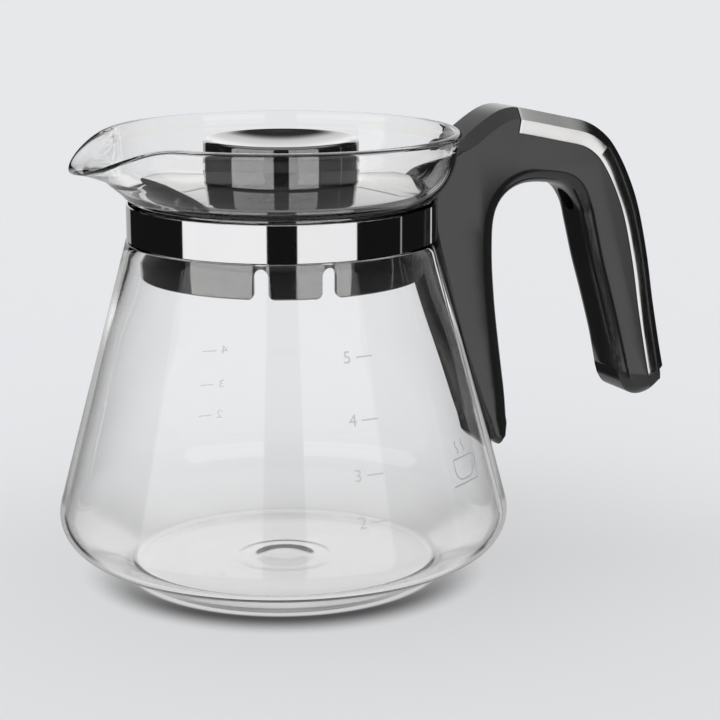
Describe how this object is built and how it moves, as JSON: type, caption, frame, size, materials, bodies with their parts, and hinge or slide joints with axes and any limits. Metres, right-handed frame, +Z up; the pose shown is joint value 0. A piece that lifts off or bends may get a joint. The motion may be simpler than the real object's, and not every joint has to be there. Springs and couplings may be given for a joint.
{
  "type": "glass coffee jug with lid and handle",
  "caption": "Tapered glass coffee jug with a pouring lip, a lift-out dished-knob lid, a polished neck band and a bolt-on hook handle.",
  "frame": {"origin": "centre of the flat base, on the surface the jug stands on", "axes": "+Z up along the jug's axis, +X towards the handle, -X towards the spout"},
  "size_m": [0.1862, 0.1266, 0.1276],
  "materials": {
    "jug_glass": "clear borosilicate, gloss",
    "polished_band": "mirror-polished stainless strip",
    "clamp_metal": "zinc-plated, satin",
    "handle_plastic": "glossy black moulding",
    "brushed_trim": "brushed across its length",
    "cover_plastic": "high-gloss black",
    "skirt_plastic": "gloss black",
    "knob_plastic": "high-gloss black",
    "screw_steel": "stainless, satin"
  },
  "bodies": {
    "jug": {"glass_jug": "jug_glass", "neck_band": "polished_band", "clamp_block": "clamp_metal", "clamp_screw": "clamp_metal", "screw_washer": "clamp_metal", "handle_body": "handle_plastic", "handle_trim": "brushed_trim"},
    "lid": {"lid_cover": "cover_plastic", "lid_skirt": "skirt_plastic", "lid_knob": "knob_plastic", "knob_screw": "screw_steel"}
  },
  "joints": [
    {"name": "lid_lift", "type": "slide", "parent": "jug", "child": "lid", "axis": [0, 0, 1], "range_m": [0, 0.045]}
  ]
}
